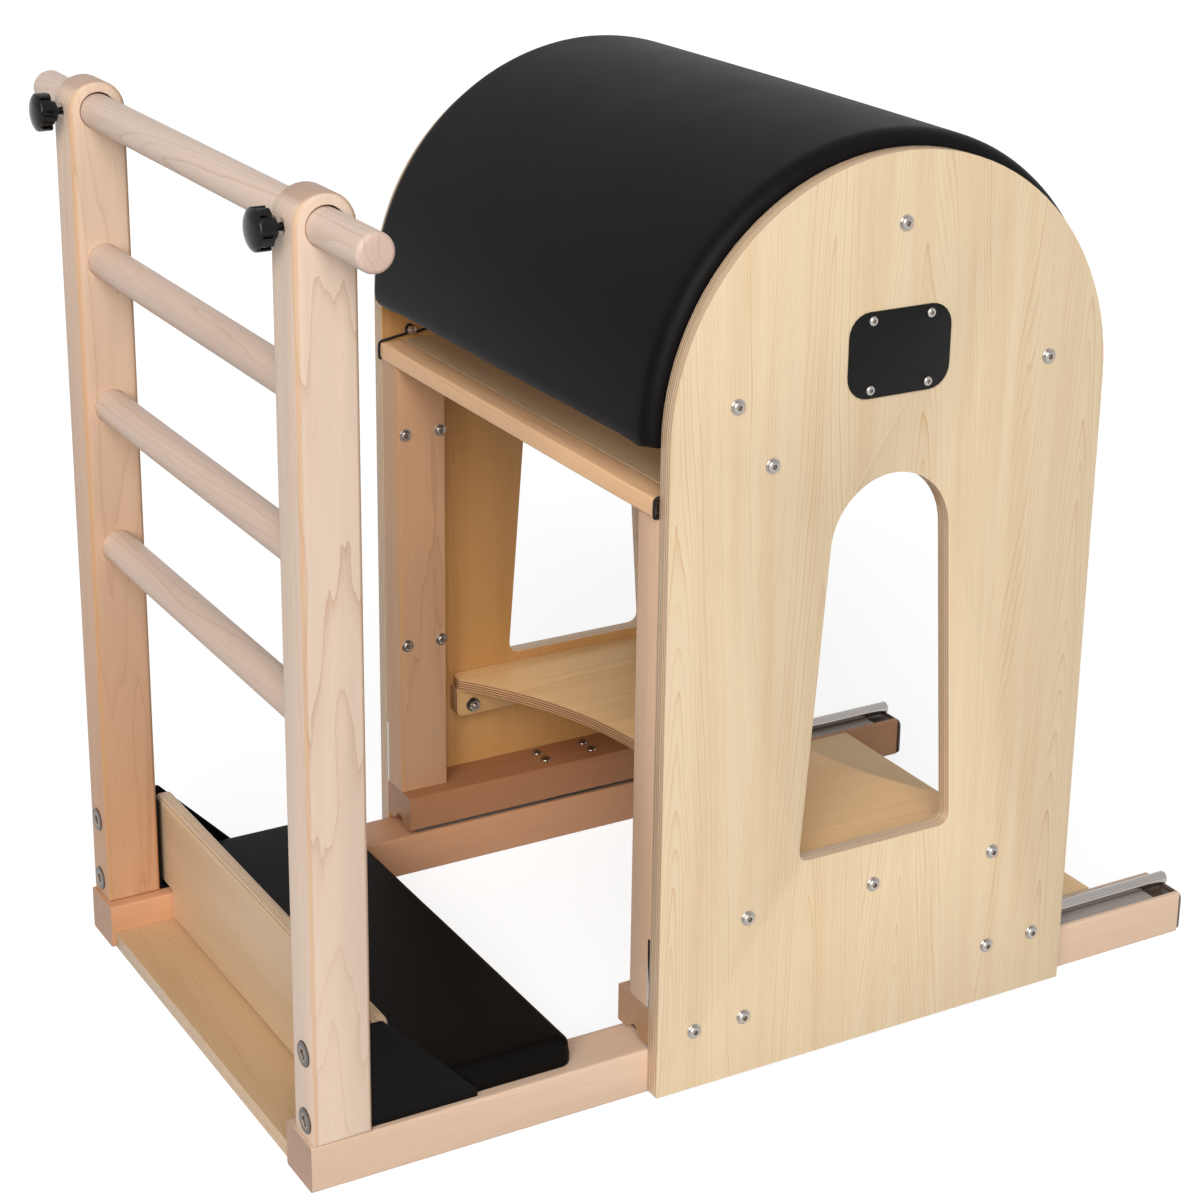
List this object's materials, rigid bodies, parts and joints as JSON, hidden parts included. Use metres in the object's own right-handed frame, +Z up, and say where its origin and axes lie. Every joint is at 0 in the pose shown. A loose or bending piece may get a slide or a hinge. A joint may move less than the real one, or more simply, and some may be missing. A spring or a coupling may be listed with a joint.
{
  "type": "pilates ladder barrel",
  "caption": "Padded half barrel on arched plywood sides, sliding along a wooden base with guide rods towards a ladder frame that has rungs, a top pole, a kickboard and a foot pad.",
  "frame": {"origin": "on the floor, under the middle of the overall box", "axes": "+Z up, +Y from the ladder towards the barrel and the free ends of the guide rods, +X towards the side panel with the badge plate"},
  "size_m": [0.848, 1.1612, 1.0196],
  "materials": {
    "beech": "clear satin lacquer",
    "plywood": "clear satin lacquer, layered edges",
    "vinyl": "soft black vinyl, fine grain",
    "black_steel": "black powder coat",
    "black_plastic": "moulded, low gloss",
    "grey_steel": "dull rolled",
    "bright_steel": "ground and polished",
    "cord": "braided",
    "dark_wood": "stained"
  },
  "bodies": {
    "base": {"base_rail_right": "beech", "base_rail_left": "beech", "bearing_plate_right": "grey_steel", "bearing_plate_left": "grey_steel", "guide_rod_right": "bright_steel", "guide_rod_left": "bright_steel", "rail_end_block_right": "dark_wood", "rail_end_block_left": "dark_wood", "rail_end_plate_right": "black_steel", "rail_end_plate_left": "black_steel", "bottom_board": "plywood", "rear_cross_plank": "plywood", "gusset_right": "black_steel", "gusset_left": "black_steel", "kickboard": "plywood", "foot_pad": "vinyl", "pad_board": "plywood", "ladder_post_right": "beech", "ladder_post_left": "beech", "rung_1": "beech", "rung_2": "beech", "rung_3": "beech", "knob_insert_right": "bright_steel", "knob_insert_left": "bright_steel"},
    "carriage": {"side_panel_right": "plywood", "side_panel_left": "plywood", "badge_plate": "black_plastic", "carriage_beam_right": "beech", "carriage_beam_left": "beech", "front_bearing_right": "black_plastic", "front_bearing_left": "black_plastic", "rear_bearing_right": "black_plastic", "rear_bearing_left": "black_plastic", "barrel_post_right": "beech", "barrel_post_left": "beech", "latch_guide_plate_right": "grey_steel", "latch_guide_plate_left": "grey_steel", "fixed_plank": "plywood", "bar_guide_pin_right": "bright_steel", "bar_guide_pin_left": "bright_steel", "cord_anchor_right": "bright_steel", "cord_anchor_left": "bright_steel", "cross_rail": "beech", "shelf": "plywood", "shelf_cleat_right": "plywood", "shelf_cleat_left": "plywood", "barrel_cushion": "vinyl", "barrel_skin": "plywood", "end_rib_right": "plywood", "end_rib_left": "plywood", "middle_rib": "plywood", "release_cord_right": "cord", "release_cord_left": "cord"},
    "bar": {"release_bar": "beech"},
    "lock_right": {"latch_pin_right": "bright_steel"},
    "lock_left": {"latch_pin_left": "bright_steel"},
    "pole": {"top_pole": "beech"},
    "knob_right": {"clamp_knob_right": "black_plastic"},
    "knob_left": {"clamp_knob_left": "black_plastic"}
  },
  "joints": [
    {"name": "barrel_slide", "type": "slide", "parent": "base", "child": "carriage", "axis": [0, 1, 0], "range_m": [-0.075, 0.195]},
    {"name": "release_bar_pull", "type": "slide", "parent": "carriage", "child": "bar", "axis": [0, -1, 0], "range_m": [0, 0.01], "deforming": ["release_cord_right", "release_cord_left"]},
    {"name": "latch_lift_right", "type": "slide", "parent": "carriage", "child": "lock_right", "axis": [0, 0, 1], "range_m": [0, 0.02]},
    {"name": "latch_lift_left", "type": "slide", "parent": "carriage", "child": "lock_left", "axis": [0, 0, 1], "range_m": [0, 0.02]},
    {"name": "top_pole_slide", "type": "slide", "parent": "base", "child": "pole", "axis": [1, 0, 0], "range_m": [-0.06, 0.06]},
    {"name": "knob_turn_right", "type": "hinge", "parent": "base", "child": "knob_right", "pos_m": [0.2923, -0.5517, 0.9851], "axis": [0, 1, 0], "continuous": true},
    {"name": "knob_turn_left", "type": "hinge", "parent": "base", "child": "knob_left", "pos_m": [-0.2923, -0.5517, 0.9851], "axis": [0, 1, 0], "continuous": true}
  ],
  "couplings": [
    {"joint": "latch_lift_right", "follows": "release_bar_pull", "ratio": 2},
    {"joint": "latch_lift_left", "follows": "release_bar_pull", "ratio": 2}
  ]
}
